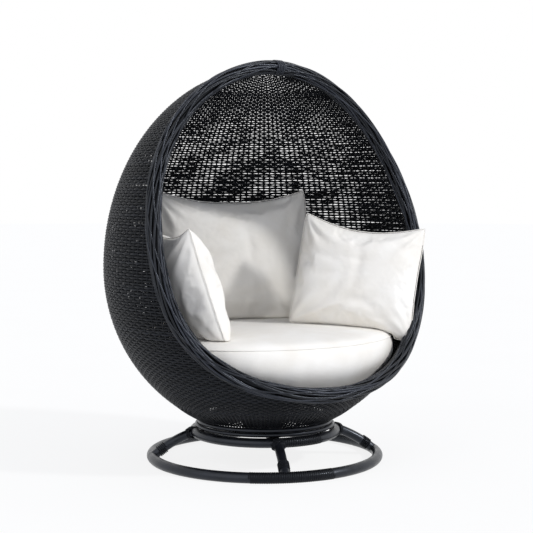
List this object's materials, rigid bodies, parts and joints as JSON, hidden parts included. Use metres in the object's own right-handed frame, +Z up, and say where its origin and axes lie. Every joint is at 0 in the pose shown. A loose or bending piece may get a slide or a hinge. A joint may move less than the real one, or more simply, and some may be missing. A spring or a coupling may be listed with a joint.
{
  "type": "pod chair",
  "caption": "Egg-shaped woven swivel chair with an oval opening, a round seat cushion and loose pillows, on a base of two pole rings.",
  "frame": {"origin": "on the floor, under the swivel's axis", "axes": "+Z up along the swivel's axis, -Y the way the opening faces, +X to the sitter's left"},
  "size_m": [1.204, 1.0653, 1.5013],
  "materials": {
    "cane": "satin",
    "lacquered_pole": "gloss",
    "plain_wood": "matte",
    "painted_steel": "satin",
    "zinc_steel": "satin",
    "nylon": "matte",
    "cushion_fabric": "matte"
  },
  "bodies": {
    "base": {"floor_ring": "lacquered_pole", "floor_ring_wrap": "cane", "leg_front": "lacquered_pole", "leg_right": "lacquered_pole", "leg_back": "lacquered_pole", "leg_left": "lacquered_pole", "leg_foot_lashings": "cane", "base_top_ring": "lacquered_pole", "top_ring_wrap": "cane", "base_crossbars": "painted_steel", "swivel_lower_plate": "painted_steel", "glide_ring": "nylon", "kingpin": "zinc_steel", "kingpin_washer": "zinc_steel", "kingpin_nut": "zinc_steel"},
    "shell": {"swivel_upper_plate": "painted_steel", "shell_crossbars": "painted_steel", "foot_ring": "lacquered_pole", "woven_bowl": "cane", "woven_hood": "cane", "rim_canes": "cane", "rim_binding": "cane", "seat_hoop": "lacquered_pole", "seat_slats": "plain_wood", "seat_cushion": "cushion_fabric", "back_pillow": "cushion_fabric", "left_pillow": "cushion_fabric", "right_pillow": "cushion_fabric"}
  },
  "joints": [
    {"name": "swivel", "type": "hinge", "parent": "base", "child": "shell", "pos_m": [0, 0, 0.131], "axis": [0, 0, 1], "continuous": true}
  ]
}
